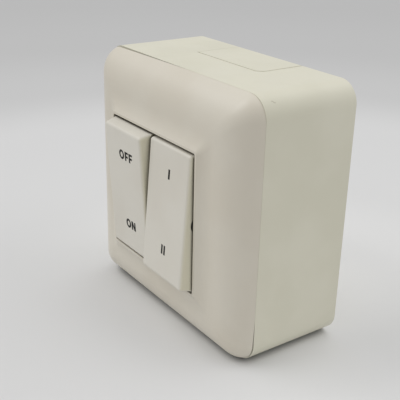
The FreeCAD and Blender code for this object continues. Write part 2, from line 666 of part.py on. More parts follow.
# Rocker: hollow cap turning on the trunnions, with a central guide for the plunger
def rocker(side, sign):
    body = new_body(f"{side}_rocker")
    zero = as_size(0)
    middle = ((zero, zero),)
    names = (f"{side}_skirt", f"{side}_shoulder", f"{side}_face")
    skirt = rectangles(body, "XZ_Plane", names[0], middle, ROCKER_WIDTH, ROCKER_LENGTH, -S.skirt_back)
    pad(body, skirt, S.skirt_back + S.skirt_shoulder)
    low = rectangles(body, "XZ_Plane", names[1], middle, ROCKER_WIDTH, ROCKER_LENGTH, S.skirt_shoulder)
    face = rectangles(body, "XZ_Plane", names[2], middle, FACE_WIDTH, FACE_LENGTH, FACE_REACH)
    lean = loft(body, "AdditiveLoft", f"{side}_lean", (low, face))
    shoulder = -S.skirt_shoulder.value
    in_front = lambda edge: edge.BoundBox.YMax < shoulder + TOUCH
    round_edges(body, lean, f"{side}_soft_edges", S.edge_round, in_front)
    reach = S.lobe_radius
    lobe = ((S.skirt_back, -reach), (reach, -reach / 2), (reach, reach / 2), (S.skirt_back, reach))
    pad(body, polygon(body, "YZ_Plane", f"{side}_lobes", lobe), ROCKER_WIDTH, both=True)
    inner_width = ROCKER_WIDTH - S.skirt_wall * 2
    inner_length = ROCKER_LENGTH - S.skirt_wall * 2
    hollow_back = -S.lobe_radius - S.skirt_wall
    roof = FACE_REACH - S.face_thick
    hollow = rectangles(body, "XZ_Plane", f"{side}_hollow", middle, inner_width, inner_length, roof)
    pocket(body, hollow, roof - hollow_back)
    holes = circles(body, "YZ_Plane", f"{side}_pivot_holes", middle, S.pivot_hole / 2)
    pocket(body, holes, ROCKER_WIDTH * 2, both=True)
    stem = circles(body, "XZ_Plane", f"{side}_stem", middle, S.stem_diameter / 2, -S.stem_reach)
    pad(body, stem, S.stem_reach + FACE_REACH - S.face_thick / 2)
    bore = circles(body, "XZ_Plane", f"{side}_bore", middle, S.bore_diameter / 2, S.bore_front)
    pocket(body, bore, S.bore_front + S.stem_reach)
    place(body, MODULE_PITCH / 2 * sign, -PIVOT, 0, -S.rocker_tilt * sign)
    return body


# Plunger: turned pin that slides in the rocker's guide and presses on the blade
def plunger(side, sign):
    body = new_body(f"{side}_plunger")
    radius = S.bore_diameter / 2 - S.plunger_play
    tip = S.tip_diameter / 2
    zero = as_size(0)
    neck = S.plunger_reach - S.tip_diameter
    points = (
        (zero, S.plunger_back), (radius, S.plunger_back), (radius, S.plunger_shoulder),
        (tip, neck), (tip, S.plunger_reach), (zero, S.plunger_reach),
    )
    outline = polygon(body, "XY_Plane", f"{side}_plunger_outline", points)
    doc.recompute()
    turned = body.newObject("PartDesign::Revolution", f"{side}_turned")
    turned.Profile = outline
    turned.ReferenceAxis = (outline, ["V_Axis"])
    turned.Angle = 360
    doc.recompute()
    reach = S.plunger_reach.value
    round_edges(body, turned, f"{side}_tip", tip * TIP_SHARE, lambda edge: edge.BoundBox.YMin > reach - TOUCH)
    place(body, MODULE_PITCH / 2 * sign, -PIVOT, 0, -S.rocker_tilt * sign)
    return body


# Plunger spring: round steel wire wound between the blind end of the guide and the plunger
def plunger_spring(side, sign):
    body = new_body(f"{side}_spring")
    start = -S.bore_front + S.spring_wire / 2 + S.spring_play
    travel = S.plunger_back - start - S.spring_wire / 2 - S.spring_play
    wire = circles(body, "XY_Plane", f"{side}_wire", ((S.spring_diameter / 2, start),), S.spring_wire / 2)
    doc.recompute()
    coil = body.newObject("PartDesign::AdditiveHelix", f"{side}_coil")
    coil.Profile = wire
    coil.ReferenceAxis = (wire, ["V_Axis"])
    coil.Mode = "pitch-height-angle"
    coil.Pitch = S.spring_pitch.value
    bind(coil, "Pitch", S.spring_pitch)
    coil.Height = travel.value
    bind(coil, "Height", travel)
    doc.recompute()
    place(body, MODULE_PITCH / 2 * sign, -PIVOT, 0, -S.rocker_tilt * sign)
    return body


# Contact blade: stamped brass strip rocking on a round rib whose ends are its trunnions
def contact_blade(side, sign):
    body = new_body(f"{side}_contact_blade")
    middle = ((as_size(0), as_size(0)),)
    strip = rectangles(body, "XZ_Plane", f"{side}_strip", middle, S.blade_width, BLADE_LENGTH)
    pad(body, strip, S.strip_thick)
    rib = circles(body, "YZ_Plane", f"{side}_rib", middle, S.blade_pin / 2)
    pad(body, rib, S.blade_pin_span, both=True)
    place(body, MODULE_PITCH / 2 * sign, -BLADE_AXIS, 0, S.blade_tilt * sign)
    return body


def blade_contacts(side, sign, ends):
    """Silver contacts riveted to the back of the blade."""
    body = new_body(f"{side}_blade_contacts")
    spots = [(as_size(0), CONTACT_ARM * end) for end in ends]
    tips = circles(body, "XZ_Plane", f"{side}_blade_tips", spots, S.contact_diameter / 2, -S.contact_thick)
    pad(body, tips, S.contact_thick)
    place(body, MODULE_PITCH / 2 * sign, -BLADE_AXIS, 0, S.blade_tilt * sign)
    return body


# Common terminal: two notched prongs under the blade, a leg through the floor and a wire pad
def common_terminal(side, sign):
    body = new_body(f"{side}_common_terminal")
    x = MODULE_PITCH / 2 * sign
    inner = S.prong_gap / 2
    outer = inner + S.strip_thick
    foot = -MODULE_FLOOR
    base = foot - S.strip_thick
    top = -BLADE_AXIS - S.blade_pin / 2 - S.strip_thick / 2
    bracket = (
        (x - outer, foot), (x + outer, foot), (x + outer, top), (x + inner, top),
        (x + inner, base), (x - inner, base), (x - inner, top), (x - outer, top),
    )
    pad(body, polygon(body, "XY_Plane", f"{side}_bracket", bracket), S.prong_height, both=True)
    notch = S.blade_pin / 2 + S.blade_pin_play
    seat = ((-BLADE_AXIS, as_size(0)),)
    pocket(body, circles(body, "YZ_Plane", f"{side}_notch", seat, notch, x), outer * 3, both=True)
    mouth = ((-BLADE_AXIS, -notch), (-BLADE_AXIS, notch), (top - notch, notch), (top - notch, -notch))
    pocket(body, polygon(body, "YZ_Plane", f"{side}_mouth", mouth, x), outer * 3, both=True)
    high = S.prong_height / 2
    end = -COMMON_END
    back = -PAD_BACK
    face = back - S.strip_thick
    leg = (
        (base, high), (base, high - S.strip_thick), (face, high - S.strip_thick),
        (face, end), (back, end), (back, high),
    )
    pad(body, polygon(body, "YZ_Plane", f"{side}_common_leg", leg, x), S.clamp_width, both=True)
    hole = circles(body, "XZ_Plane", f"{side}_common_hole", ((x, -COMMON_SCREW),), SHANK_HOLE, MODULE_BACK)
    pocket(body, hole, S.strip_thick)
    return body


# Outer terminal: brass strip bent to a C, a contact tongue in front and a wire pad behind the floor
def outer_terminal(label, sign, end):
    body = new_body(label)
    x = MODULE_PITCH / 2 * sign
    far = TERMINAL_END * end
    leg = (TERMINAL_END - S.strip_thick) * end
    tongue_tip = (CONTACT_ARM - S.contact_diameter * TONGUE_SHARE) * end
    pad_tip = (TERMINAL_SCREW - S.pad_reach) * end
    back = -PAD_BACK
    front = -TONGUE_FRONT
    points = (
        (front, tongue_tip), (front + S.strip_thick, tongue_tip), (front + S.strip_thick, leg),
        (back - S.strip_thick, leg), (back - S.strip_thick, pad_tip), (back, pad_tip),
        (back, far), (front, far),
    )
    pad(body, polygon(body, "YZ_Plane", f"{label}_strip", points, x), S.terminal_width, both=True)
    spot = ((x, TERMINAL_SCREW * end),)
    pocket(body, circles(body, "XZ_Plane", f"{label}_hole", spot, SHANK_HOLE, MODULE_BACK), S.strip_thick)
    return body


def fixed_contacts(stations):
    body = new_body("fixed_contacts")
    spots = [(MODULE_PITCH / 2 * sign, CONTACT_ARM * end) for sign, end in stations]
    tips = circles(body, "XZ_Plane", "fixed_tips", spots, S.contact_diameter / 2, TONGUE_FRONT)
    pad(body, tips, S.contact_thick)
    return body


# Wire clamps: brass plates with a foot on the pad and a wing over the wire on each side
def wire_clamps(spots):
    body = new_body("wire_clamps")
    feet = rectangles(body, "XZ_Plane", "clamp_feet", spots, S.clamp_width, S.clamp_foot, CLAMP_BACK)
    pad(body, feet, CLAMP_RISE)
    wings = rectangles(body, "XZ_Plane", "clamp_wings", spots, S.clamp_width, S.clamp_height, CLAMP_BACK)
    pad(body, wings, S.strip_thick)
    holes = circles(body, "XZ_Plane", "clamp_holes", spots, SHANK_HOLE, PAD_BACK)
    pocket(body, holes, CLAMP_RISE)
    return body


# Link wire: bare copper from the switched terminal on the left to the common terminal on the right
def link_wire():
    body = new_body("link_wire")
    radius = S.link_diameter / 2
    level = PAD_BACK - radius - S.link_play / 2
    offset = S.clamp_foot / 2 + radius + S.link_play
    high = TERMINAL_SCREW - offset
    low = -COMMON_SCREW + offset
    reach = MODULE_PITCH / 2 + S.link_end
    bend = S.link_bend
    arcs = (
        ((-bend, high - bend), bend, 0, 90, False),
        ((bend, low + bend), bend, 180, 270, True),
    )
    path = new_sketch(body, "XZ_Plane", "link_path", level)
    add_chain(path, arcs, ends=((-reach, high), (reach, low)))
    end = circles(body, "YZ_Plane", "link_section", ((-level, high),), radius, -reach)
    doc.recompute()
    pipe = body.newObject("PartDesign::AdditivePipe", "link_pipe")
    pipe.Profile = end
    pipe.Spine = (path, [])
    doc.recompute()
    return body


def build():
    """Every sub-part, in the order it is put together."""
    frame_spots = two_sided(PILLAR_SPACING / 2)
    stations = ((-1, 1), (1, 1), (1, -1))
    clamp_spots = [(MODULE_PITCH / 2 * sign, TERMINAL_SCREW * end) for sign, end in stations]
    clamp_spots += [(MODULE_PITCH / 2 * sign, -COMMON_SCREW) for side, sign in SIDES]
    parts = [surface_box(), support_frame(), cover_frame()]
    parts.append(slotted_screws(
        "frame_screws", frame_spots, S.screw_shank, S.screw_length, S.screw_head,
        S.screw_head_rise, FRAME_FRONT, 1))
    for side, sign in SIDES:
        parts.append(module_housing(side, sign))
        parts.append(rocker(side, sign))
        parts.append(plunger(side, sign))
        parts.append(plunger_spring(side, sign))
        parts.append(contact_blade(side, sign))
        parts.append(common_terminal(side, sign))
    parts.append(blade_contacts("left", -1, (1,)))
    parts.append(blade_contacts("right", 1, (1, -1)))
    parts.append(outer_terminal("left_on_terminal", -1, 1))
    parts.append(outer_terminal("right_high_terminal", 1, 1))
    parts.append(outer_terminal("right_low_terminal", 1, -1))
    parts.append(fixed_contacts(stations))
    parts.append(wire_clamps(clamp_spots))
    parts.append(slotted_screws(
        "terminal_screws", clamp_spots, S.terminal_shank, S.terminal_length, S.terminal_head,
        S.terminal_head_rise, CLAMP_BACK, -1))
    parts.append(link_wire())
    return parts


def check(parts):
    """Stop at any feature that failed, or at a shape that is empty or invalid."""
    doc.recompute()
    for thing in doc.Objects:
        if {"Invalid", "Error"} & set(thing.State):
            raise RuntimeError(f"{thing.Label}: {thing.State}")
    for body in parts:
        if body.Shape.isNull() or not body.Shape.isValid() or not body.Shape.Solids:
            raise RuntimeError(f"{body.Label} has no valid solid")


def write(parts):
    os.makedirs("parts", exist_ok=True)
    for body in parts:
        body.Shape.exportStep(f"parts/{body.Label}.step")


finished = build()
check(finished)
write(finished)
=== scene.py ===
# Two-rocker fan switch in an ivory surface box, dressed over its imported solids.
# Metres, X right, Y into the wall, Z up. Sizes are written in millimetres and multiplied by MM.
import json
import math

import bmesh
import bpy
from mathutils import Matrix, Vector


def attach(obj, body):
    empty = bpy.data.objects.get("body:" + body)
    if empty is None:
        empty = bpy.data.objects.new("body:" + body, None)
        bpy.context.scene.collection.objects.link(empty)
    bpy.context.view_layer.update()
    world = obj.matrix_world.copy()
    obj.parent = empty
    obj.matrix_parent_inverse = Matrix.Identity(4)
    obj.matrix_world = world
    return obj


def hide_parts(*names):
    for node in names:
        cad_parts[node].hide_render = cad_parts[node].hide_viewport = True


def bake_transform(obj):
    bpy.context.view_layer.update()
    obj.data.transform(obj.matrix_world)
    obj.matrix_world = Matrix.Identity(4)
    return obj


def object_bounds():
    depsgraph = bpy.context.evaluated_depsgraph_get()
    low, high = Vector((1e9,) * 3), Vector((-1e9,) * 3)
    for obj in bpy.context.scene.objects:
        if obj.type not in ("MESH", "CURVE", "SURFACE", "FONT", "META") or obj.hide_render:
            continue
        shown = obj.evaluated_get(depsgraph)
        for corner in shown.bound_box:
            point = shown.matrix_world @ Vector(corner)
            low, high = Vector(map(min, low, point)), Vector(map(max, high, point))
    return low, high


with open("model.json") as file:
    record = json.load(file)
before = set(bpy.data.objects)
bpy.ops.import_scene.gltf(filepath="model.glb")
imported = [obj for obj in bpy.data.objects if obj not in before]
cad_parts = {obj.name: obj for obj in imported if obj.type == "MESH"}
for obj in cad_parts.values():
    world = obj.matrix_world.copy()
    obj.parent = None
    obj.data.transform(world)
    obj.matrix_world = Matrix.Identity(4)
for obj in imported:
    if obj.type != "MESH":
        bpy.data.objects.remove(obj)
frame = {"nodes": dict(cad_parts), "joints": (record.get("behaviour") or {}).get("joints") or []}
cad_low, cad_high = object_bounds()

# Surface box. One injection moulding in ivory ABS, open to the front, screwed to the wall through its back.
# Its spark-eroded mould left a satin grain, drawn coarser than life so that it shows. Age has yellowed it
# unevenly, painted shade darkens its narrow gaps, and a small scuff sits on the upper right edge near the
# seam.
MM = 0.001
BOX_IVORY = ("DEDBC9", "D9D6C3")
BOX_ROUGHNESS = 0.42
# Openness below which painted shade darkens the box's gaps.
BOX_GAP_SHADE_ONSET = 0.3
ABS_IOR = 1.54
ABS_AGEING_MM = 24.0
ABS_AGEING_LEVELS = (0.35, 0.65)
ABS_GRAIN_MM = 0.35
ABS_GRAIN_DEPTH_MM = 0.004
ABS_FLOW_MM = 9.0
ABS_FLOW_DEPTH_MM = 0.012
ABS_FLOW_LEVELS = (0.3, 0.7)
ABS_GLOSS_SPREAD = 0.05
ABS_EDGE_MM = 0.05
EDGE_RAYS = 6
# Painted shade in narrow gaps: its colour, its reach, and the drop in openness over which it fades in.
GAP_SHADE_COLOUR = "4A4335"
GAP_SHADE_REACH_MM = 1.0
GAP_SHADE_FADE = 0.5
GAP_RAYS = 8
SCUFF_COLOUR = "9A917E"
SCUFF_STRENGTH = 0.5
SCUFF_WIDTH_MM = 0.3
SCUFF_DASHES_MM = (
    ((37.74, -28.91, 38.37), (37.84, -28.51, 38.29)),
    ((38.08, -28.47, 38.05), (38.18, -28.01, 37.95)),
)
MIX_FROM, MIX_TO, MIX_RESULT = 6, 7, 2


def linear(code):
    """An sRGB hex colour as linear RGBA."""
    shares = [int(code[i:i + 2], 16) / 255 for i in (0, 2, 4)]
    return [s / 12.92 if s <= 0.04045 else ((s + 0.055) / 1.055) ** 2.4 for s in shares] + [1.0]


def per_mm(size_mm):
    """The scale at which a noise pattern has features of that size."""
    return 1 / (size_mm * MM)


def add_node(tree, kind, feeds=None, **settings):
    """Add a node; feeds maps its sockets to values or to other nodes' outputs."""
    node = tree.nodes.new(kind)
    for name, value in settings.items():
        setattr(node, name, value)
    for socket, value in (feeds or {}).items():
        if isinstance(value, bpy.types.NodeSocket):
            tree.links.new(value, node.inputs[socket])
        else:
            node.inputs[socket].default_value = value
    return node


def new_material(name):
    """An empty material: its tree, its surface shader and the place of a point in the part's own frame."""
    material = bpy.data.materials.new(name)
    material.use_nodes = True
    tree = material.node_tree
    tree.nodes.clear()
    shader = add_node(tree, "ShaderNodeBsdfPrincipled")
    add_node(tree, "ShaderNodeOutputMaterial", {"Surface": shader.outputs["BSDF"]})
    place = add_node(tree, "ShaderNodeTexCoord").outputs["Object"]
    return material, tree, shader, place


def moulded_abs(name, shades, roughness, gap_shade_onset, marks):
    """Satin ABS: two close ivories in slow patches, marks, painted shade in gaps, grain, flow waves, soft
    edges.
    """
    material, tree, shader, place = new_material(name)
    ageing = add_node(tree, "ShaderNodeTexNoise", {
        "Vector": place, "Scale": per_mm(ABS_AGEING_MM), "Detail": 3.0})
    share = add_node(tree, "ShaderNodeMapRange", {
        "Value": ageing.outputs["Fac"],
        "From Min": ABS_AGEING_LEVELS[0], "From Max": ABS_AGEING_LEVELS[1],
    }, interpolation_type="SMOOTHSTEP")
    colour = add_node(tree, "ShaderNodeMix", {
        "Factor": share.outputs["Result"], MIX_FROM: linear(shades[0]), MIX_TO: linear(shades[1]),
    }, data_type="RGBA").outputs[MIX_RESULT]
    for mark in marks:
        colour = mark(tree, colour)
    # Painted shade: the colour turns dark brown where the surface is shut in, deep in narrow gaps.
    openness = add_node(tree, "ShaderNodeAmbientOcclusion", {
        "Distance": GAP_SHADE_REACH_MM * MM}, samples=GAP_RAYS)
    gap_shade = add_node(tree, "ShaderNodeMapRange", {
        "Value": openness.outputs["AO"], "From Min": gap_shade_onset - GAP_SHADE_FADE, "From Max": gap_shade_onset,
        "To Min": 1.0, "To Max": 0.0})
    colour = add_node(tree, "ShaderNodeMix", {
        "Factor": gap_shade.outputs["Result"], MIX_FROM: colour, MIX_TO: linear(GAP_SHADE_COLOUR),
    }, data_type="RGBA").outputs[MIX_RESULT]
    grain = add_node(tree, "ShaderNodeTexNoise", {
        "Vector": place, "Scale": per_mm(ABS_GRAIN_MM), "Detail": 2.0})
    flow = add_node(tree, "ShaderNodeTexNoise", {
        "Vector": place, "Scale": per_mm(ABS_FLOW_MM), "Detail": 1.0})
    gloss = add_node(tree, "ShaderNodeMapRange", {
        "Value": flow.outputs["Fac"], "From Min": ABS_FLOW_LEVELS[0], "From Max": ABS_FLOW_LEVELS[1],
        "To Min": roughness - ABS_GLOSS_SPREAD, "To Max": roughness + ABS_GLOSS_SPREAD})
    soft = add_node(tree, "ShaderNodeBevel", {"Radius": ABS_EDGE_MM * MM}, samples=EDGE_RAYS)
    waves = add_node(tree, "ShaderNodeBump", {
        "Height": flow.outputs["Fac"], "Distance": ABS_FLOW_DEPTH_MM * MM, "Normal": soft.outputs["Normal"]})
    bump = add_node(tree, "ShaderNodeBump", {
        "Height": grain.outputs["Fac"], "Distance": ABS_GRAIN_DEPTH_MM * MM,
        "Normal": waves.outputs["Normal"]})
    tree.links.new(colour, shader.inputs["Base Color"])
    tree.links.new(gloss.outputs["Result"], shader.inputs["Roughness"])
    tree.links.new(bump.outputs["Normal"], shader.inputs["Normal"])
    shader.inputs["IOR"].default_value = ABS_IOR
    return material


def scuff_dashes(tree, colour):
    """Short grey dashes, strongest along their middle lines and gone at their width."""
    place = add_node(tree, "ShaderNodeTexCoord").outputs["Object"]
    for ends_mm in SCUFF_DASHES_MM:
        start, stop = (Vector(end) * MM for end in ends_mm)
        along = stop - start
        offset = add_node(tree, "ShaderNodeVectorMath", {
            0: place, 1: start}, operation="SUBTRACT").outputs[0]
        run = add_node(tree, "ShaderNodeVectorMath", {
            0: offset, 1: along / along.length_squared}, operation="DOT_PRODUCT").outputs["Value"]
        share = add_node(tree, "ShaderNodeClamp", {"Value": run}).outputs["Result"]
        foot = add_node(tree, "ShaderNodeVectorMath", {
            0: along, "Scale": share}, operation="SCALE").outputs[0]
        gap = add_node(tree, "ShaderNodeVectorMath", {
            0: offset, 1: foot}, operation="DISTANCE").outputs["Value"]
        mask = add_node(tree, "ShaderNodeMapRange", {
            "Value": gap, "From Min": 0.0, "From Max": SCUFF_WIDTH_MM * MM,
            "To Min": SCUFF_STRENGTH, "To Max": 0.0,
        }, interpolation_type="SMOOTHSTEP").outputs["Result"]
        colour = add_node(tree, "ShaderNodeMix", {
            "Factor": mask, MIX_FROM: colour, MIX_TO: linear(SCUFF_COLOUR),
        }, data_type="RGBA").outputs[MIX_RESULT]
    return colour


def dress(material, *nodes):
    """Give solids of the frame their finish."""
    for node in nodes:
        mesh = frame["nodes"][node].data
        mesh.materials.clear()
        mesh.materials.append(material)


dress(moulded_abs("ivory_abs_box", BOX_IVORY, BOX_ROUGHNESS, BOX_GAP_SHADE_ONSET, [scuff_dashes]),
      "surface_box")

# Support frame. A flat plate moulded in grey polycarbonate, screwed to the two pillars of the box.
# The moulding is plain and matt, with a fine even grain, drawn coarser than life so that it shows.
FRAME_GREY = "8C8F90"
FRAME_ROUGHNESS = 0.5
PC_IOR = 1.585
PLAIN_GRAIN_MM = 0.4
PLAIN_GRAIN_DEPTH_MM = 0.006
PLAIN_PATCH_MM = 4.8
PLAIN_SHADES = (0.9, 1.1)
PLAIN_GLOSS_SPREAD = 0.08


def moulded_plain(name, code, roughness, ior):
    """An even engineering plastic with a fine matt grain and a slightly uneven gloss."""
    material, tree, shader, place = new_material(name)
    grain = add_node(tree, "ShaderNodeTexNoise", {
        "Vector": place, "Scale": per_mm(PLAIN_GRAIN_MM), "Detail": 2.0})
    patches = add_node(tree, "ShaderNodeTexNoise", {"Vector": place, "Scale": per_mm(PLAIN_PATCH_MM)})
    tone = add_node(tree, "ShaderNodeMapRange", {
        "Value": patches.outputs["Fac"], "To Min": PLAIN_SHADES[0], "To Max": PLAIN_SHADES[1]})
    shade = add_node(tree, "ShaderNodeHueSaturation", {
        "Value": tone.outputs["Result"], "Color": linear(code)})
    gloss = add_node(tree, "ShaderNodeMapRange", {
        "Value": patches.outputs["Fac"],
        "To Min": roughness - PLAIN_GLOSS_SPREAD, "To Max": roughness + PLAIN_GLOSS_SPREAD})
    bump = add_node(tree, "ShaderNodeBump", {
        "Height": grain.outputs["Fac"], "Distance": PLAIN_GRAIN_DEPTH_MM * MM})
    tree.links.new(shade.outputs["Color"], shader.inputs["Base Color"])
    tree.links.new(gloss.outputs["Result"], shader.inputs["Roughness"])
    tree.links.new(bump.outputs["Normal"], shader.inputs["Normal"])
    shader.inputs["IOR"].default_value = ior
    return material


dress(moulded_plain("grey_polycarbonate_moulded", FRAME_GREY, FRAME_ROUGHNESS, PC_IOR), "support_frame")

# Frame screws and terminal screws. Slotted, turned from steel wire, then zinc plated.
# Plating leaves a pale, slightly bluish metal. Its faint turning rings, like the marks on the other
# metals here, are drawn coarser than life so that they show.
ZINC = "C9CCCE"
ZINC_ROUGHNESS = 0.34
TURNING_MM = 0.15
TURNING_STRETCH = (1.0, 0.1, 1.0)
MARK_SHADES = (0.82, 1.1)
MARK_GLOSS_SPREAD = 0.1
MARK_DEPTH_MM = 0.003


def worked_metal(name, code, roughness, mark_mm, stretch):
    """A metal with fine marks; a small number in stretch draws them out along that axis."""
    material, tree, shader, place = new_material(name)
    drawn = add_node(tree, "ShaderNodeMapping", {"Vector": place, "Scale": stretch}).outputs["Vector"]
    marks = add_node(tree, "ShaderNodeTexNoise", {
        "Vector": drawn, "Scale": per_mm(mark_mm), "Detail": 3.0})
    tone = add_node(tree, "ShaderNodeMapRange", {
        "Value": marks.outputs["Fac"], "To Min": MARK_SHADES[0], "To Max": MARK_SHADES[1]})
    shade = add_node(tree, "ShaderNodeHueSaturation", {
        "Value": tone.outputs["Result"], "Color": linear(code)})
    gloss = add_node(tree, "ShaderNodeMapRange", {
        "Value": marks.outputs["Fac"],
        "To Min": roughness - MARK_GLOSS_SPREAD, "To Max": roughness + MARK_GLOSS_SPREAD})
    bump = add_node(tree, "ShaderNodeBump", {"Height": marks.outputs["Fac"], "Distance": MARK_DEPTH_MM * MM})
    tree.links.new(shade.outputs["Color"], shader.inputs["Base Color"])
    tree.links.new(gloss.outputs["Result"], shader.inputs["Roughness"])
    tree.links.new(bump.outputs["Normal"], shader.inputs["Normal"])
    shader.inputs["Metallic"].default_value = 1.0
    return material


dress(worked_metal("zinc_plated_steel", ZINC, ZINC_ROUGHNESS, TURNING_MM, TURNING_STRETCH),
      "frame_screws", "terminal_screws")

# Module housings. Two deep cups moulded in black polycarbonate that clip into the support frame.
# Their trunnions carry the rockers, and the dark spot in a rocker's side is the end of one.
HOUSING_BLACK = "1C1B1A"
HOUSING_ROUGHNESS = 0.48
dress(moulded_plain("black_polycarbonate_moulded", HOUSING_BLACK, HOUSING_ROUGHNESS, PC_IOR),
      "left_module_housing", "right_module_housing")

# Terminals, clamps and contact blades. Stamped from rolled brass strip and bent.
# Rolling leaves fine streaks along the strip, and the brass has dulled to a warm yellow.
BRASS = "C9A45C"
BRASS_ROUGHNESS = 0.32
ROLLING_MM = 0.3
ROLLING_STRETCH = (1.0, 1.0, 0.08)
dress(worked_metal("rolled_brass_strip", BRASS, BRASS_ROUGHNESS, ROLLING_MM, ROLLING_STRETCH),
      "left_common_terminal", "right_common_terminal", "left_on_terminal", "right_high_terminal",
      "right_low_terminal", "wire_clamps", "left_contact_blade", "right_contact_blade")

# Contacts. Small fine-silver discs, riveted to the blades and to the outer terminals.
# Silver is the whitest of these metals, with a light tarnish in small spots.
SILVER = "DEDBD2"
SILVER_ROUGHNESS = 0.28
TARNISH_MM = 0.2
EVEN_STRETCH = (1.0, 1.0, 1.0)
dress(worked_metal("fine_silver_riveted", SILVER, SILVER_ROUGHNESS, TARNISH_MM, EVEN_STRETCH),
      "left_blade_contacts", "right_blade_contacts", "fixed_contacts")

# Link wire. Bare drawn copper, clamped from the switched terminal to the common terminal beside it.
# Drawing marks run along the wire.
COPPER = "C07C56"
COPPER_ROUGHNESS = 0.3
DRAWING_MM = 0.12
DRAWING_STRETCH = (0.1, 1.0, 1.0)
dress(worked_metal("drawn_copper_wire", COPPER, COPPER_ROUGHNESS, DRAWING_MM, DRAWING_STRETCH), "link_wire")

# Plungers. Turned acetal pins that slide in the rockers' guides and press on the blades.
# Acetal is a waxy, slightly milky white.
ACETAL = "E6E5DF"
ACETAL_ROUGHNESS = 0.4
ACETAL_IOR = 1.48
dress(moulded_plain("white_acetal_turned", ACETAL, ACETAL_ROUGHNESS, ACETAL_IOR),
      "left_plunger", "right_plunger")

# Plunger springs. Hard-drawn steel wire, wound between the guide's blind end and the plunger.
# The wire is bright with a faint grey oxide.
SPRING_STEEL = "A3A5A6"
SPRING_ROUGHNESS = 0.36
OXIDE_MM = 0.1


def wound_spring(side, steel):
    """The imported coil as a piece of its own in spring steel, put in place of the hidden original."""
    node = f"{side}_spring"
    mesh = frame["nodes"][node].data.copy()
    mesh.materials.clear()
    mesh.materials.append(steel)
    coil = bpy.data.objects.new(f"{side}_spring_coil", mesh)
    bpy.context.scene.collection.objects.link(coil)
    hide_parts(node)
    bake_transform(coil)


spring_steel = worked_metal(
    "hard_drawn_spring_steel", SPRING_STEEL, SPRING_ROUGHNESS, OXIDE_MM, EVEN_STRETCH)
for side in ("left", "right"):
    wound_spring(side, spring_steel)

# Cover frame. One ivory ABS moulding, hooked into the support frame: a domed border, a cove and a lip.
# It came from another mould than the box and is a shade pinker.
COVER_IVORY = ("DBD5C7", "D7D0C1")
COVER_ROUGHNESS = 0.4
# Openness below which painted shade darkens the cover's gaps.
COVER_GAP_SHADE_ONSET = 0.7
dress(moulded_abs("ivory_abs_cover", COVER_IVORY, COVER_ROUGHNESS, COVER_GAP_SHADE_ONSET, []), "cover_frame")

# Rockers. Hollow ivory ABS caps that turn on the housings' trunnions, moulded smoother than the cover.
# Their side walls carry a painted warmer tint of the light, and painted shade deep in the gaps.
ROCKER_IVORY = ("DDD9CE", "D9D4C8")
ROCKER_ROUGHNESS = 0.36
# Openness below which painted shade darkens the rockers' gaps.
ROCKER_GAP_SHADE_ONSET = 0.92
SIDE_LIGHT_TINT = "DFDAC4"
SIDE_TURN = (0.4, 0.95)
SIDE_SHADE_REACH_MM = 2.5
SIDE_SHADE_LEVELS = (0.0, 0.75)


def side_light_and_shade(tree, colour):
    """Painted warm light on walls that face left or right, and painted shade where they are shut in."""
    normal = add_node(tree, "ShaderNodeNewGeometry").outputs["Normal"]
    across = add_node(tree, "ShaderNodeSeparateXYZ", {"Vector": normal}).outputs["X"]
    sideways = add_node(tree, "ShaderNodeMath", {0: across}, operation="ABSOLUTE").outputs[0]
    share = add_node(tree, "ShaderNodeMapRange", {
        "Value": sideways, "From Min": SIDE_TURN[0], "From Max": SIDE_TURN[1]}).outputs["Result"]
    # Painted light: a warmer tint on walls that face left or right.
    colour = add_node(tree, "ShaderNodeMix", {
        "Factor": share, MIX_FROM: colour, MIX_TO: linear(SIDE_LIGHT_TINT),
    }, data_type="RGBA").outputs[MIX_RESULT]
    # Painted shade on those walls, deeper where they are shut in between the rockers.
    openness = add_node(tree, "ShaderNodeAmbientOcclusion", {
        "Distance": SIDE_SHADE_REACH_MM * MM}, samples=GAP_RAYS)
    low_down = add_node(tree, "ShaderNodeMapRange", {
        "Value": openness.outputs["AO"], "From Min": SIDE_SHADE_LEVELS[0], "From Max": SIDE_SHADE_LEVELS[1],
        "To Min": 1.0, "To Max": 0.0}).outputs["Result"]
    side_shade = add_node(tree, "ShaderNodeMath", {0: low_down, 1: share}, operation="MULTIPLY").outputs[0]
    return add_node(tree, "ShaderNodeMix", {
        "Factor": side_shade, MIX_FROM: colour, MIX_TO: linear(GAP_SHADE_COLOUR),
    }, data_type="RGBA").outputs[MIX_RESULT]


dress(moulded_abs("ivory_abs_rocker", ROCKER_IVORY, ROCKER_ROUGHNESS, ROCKER_GAP_SHADE_ONSET, [side_light_and_shade]),
      "left_rocker", "right_rocker")

# Legends. OFF and ON on the left rocker, I and II on the right one, pad-printed in black ink.
# The ink is a thin film on the face, slightly matt, with a trace of thickness at its edges.
# Where the film is thin it is speckled, drawn coarser than life so that it shows.
INK_BLACK = "12110F"
INK_SHEEN = 0.2
INK_SPECKLE_MM = 0.25
INK_SHADES = (0.8, 1.3)
INK_ROUGHNESS = (0.45, 0.65)
INK_FILM_MM = 0.02
INK_BITE_MM = 0.01
FACE_REACH_MM = 4.9
CAP_MM = 2.97
STROKE_MM = 0.76
BAR_MM = 0.84
PAIR_BAR_MM = 0.76
F_ARM_SHARE = 0.88
F_WAIST_SHARE = 0.42
F_SHORT_SHARE = 0.1
N_SLANT_SHARE = 1.12
N_NOTCH_SHARE = 1.5
O_EXTRA_SHARE = 0.04
O_CROWN_SHARE = 0.9
O_POINTS = 48


